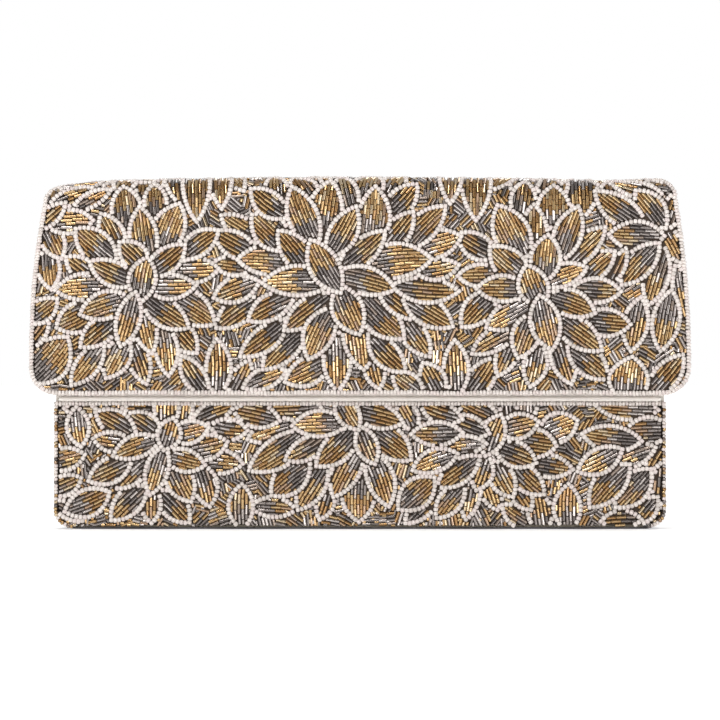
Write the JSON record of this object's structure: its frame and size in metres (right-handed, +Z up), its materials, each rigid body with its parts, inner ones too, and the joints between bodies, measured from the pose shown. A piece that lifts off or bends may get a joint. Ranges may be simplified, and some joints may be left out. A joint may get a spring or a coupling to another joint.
{
  "type": "clutch purse",
  "caption": "Rectangular bead-embroidered fold-over clutch: stiffened pouch with gussets, a soft spine and a wide flap with a hidden magnetic snap.",
  "frame": {"origin": "on the underside, at the middle of the closed purse's footprint", "axes": "+X across the purse, the flap's front faces -Y, +Z up from the base to the fold"},
  "size_m": [0.28, 0.03, 0.15],
  "materials": {
    "bead_mix": "metallic-lined bugle beads and pearly seed beads, gold, gunmetal and white",
    "seed_beads": "opaque pearly white seed beads",
    "cream_satin": "satin, soft sheen",
    "grey_satin": "satin, soft sheen",
    "ground_cloth": "plain dark taupe silk ground under the beads",
    "lining_satin": "satin lining",
    "card_board": "pressed stiffening board",
    "padding": "thin felted padding",
    "nickel": "nickel plate",
    "magnet": "ferrite magnet"
  },
  "bodies": {
    "root": {"back_cloth": "ground_cloth", "back_board": "card_board", "back_lining": "lining_satin", "back_beadwork": "bead_mix", "base_board": "card_board", "base_cloth": "grey_satin", "base_lining": "lining_satin", "slip_pocket": "cream_satin", "gusset_left": "cream_satin", "gusset_right": "cream_satin", "rear_fold_cloth": "ground_cloth", "rear_fold_lining": "lining_satin", "rear_fold_beadwork": "bead_mix"},
    "front": {"front_cloth": "ground_cloth", "front_board": "card_board", "front_padding": "padding", "front_lining": "lining_satin", "front_satin_yoke": "cream_satin", "front_beadwork": "bead_mix", "front_bead_border": "seed_beads", "mouth_binding": "cream_satin", "snap_socket": "nickel", "snap_magnet": "magnet", "snap_socket_washer": "nickel"},
    "spine": {"spine_cloth": "ground_cloth", "spine_lining": "lining_satin", "spine_beadwork": "bead_mix", "front_fold_cloth": "ground_cloth", "front_fold_lining": "lining_satin", "front_fold_beadwork": "bead_mix"},
    "flap": {"flap_cloth": "ground_cloth", "flap_board": "card_board", "flap_padding": "padding", "flap_lining": "lining_satin", "flap_beadwork": "bead_mix", "flap_edge_beads": "seed_beads", "flap_piping": "cream_satin", "flap_piping_cord": "padding", "snap_stud": "nickel", "snap_stud_washer": "nickel"}
  },
  "joints": [
    {"name": "spine_turn", "type": "hinge", "parent": "root", "child": "spine", "pos_m": [0, 0.01157, 0.14652], "axis": [-1, 0, 0], "range_deg": [0, 90], "deforming": ["rear_fold_cloth", "rear_fold_lining", "rear_fold_beadwork"]},
    {"name": "flap_turn", "type": "hinge", "parent": "spine", "child": "flap", "pos_m": [0, -0.01157, 0.14652], "axis": [-1, 0, 0], "range_deg": [0, 90], "deforming": ["front_fold_cloth", "front_fold_lining", "front_fold_beadwork"]},
    {"name": "mouth_spread", "type": "hinge", "parent": "root", "child": "front", "pos_m": [0, -0.00845, 0.0011], "axis": [1, 0, 0], "range_deg": [0, 7.5], "deforming": ["gusset_left", "gusset_right"]}
  ],
  "couplings": [
    {"joint": "spine_turn", "follows": "flap_turn", "ratio": 1},
    {"joint": "mouth_spread", "follows": "flap_turn", "ratio": 0.0833}
  ]
}
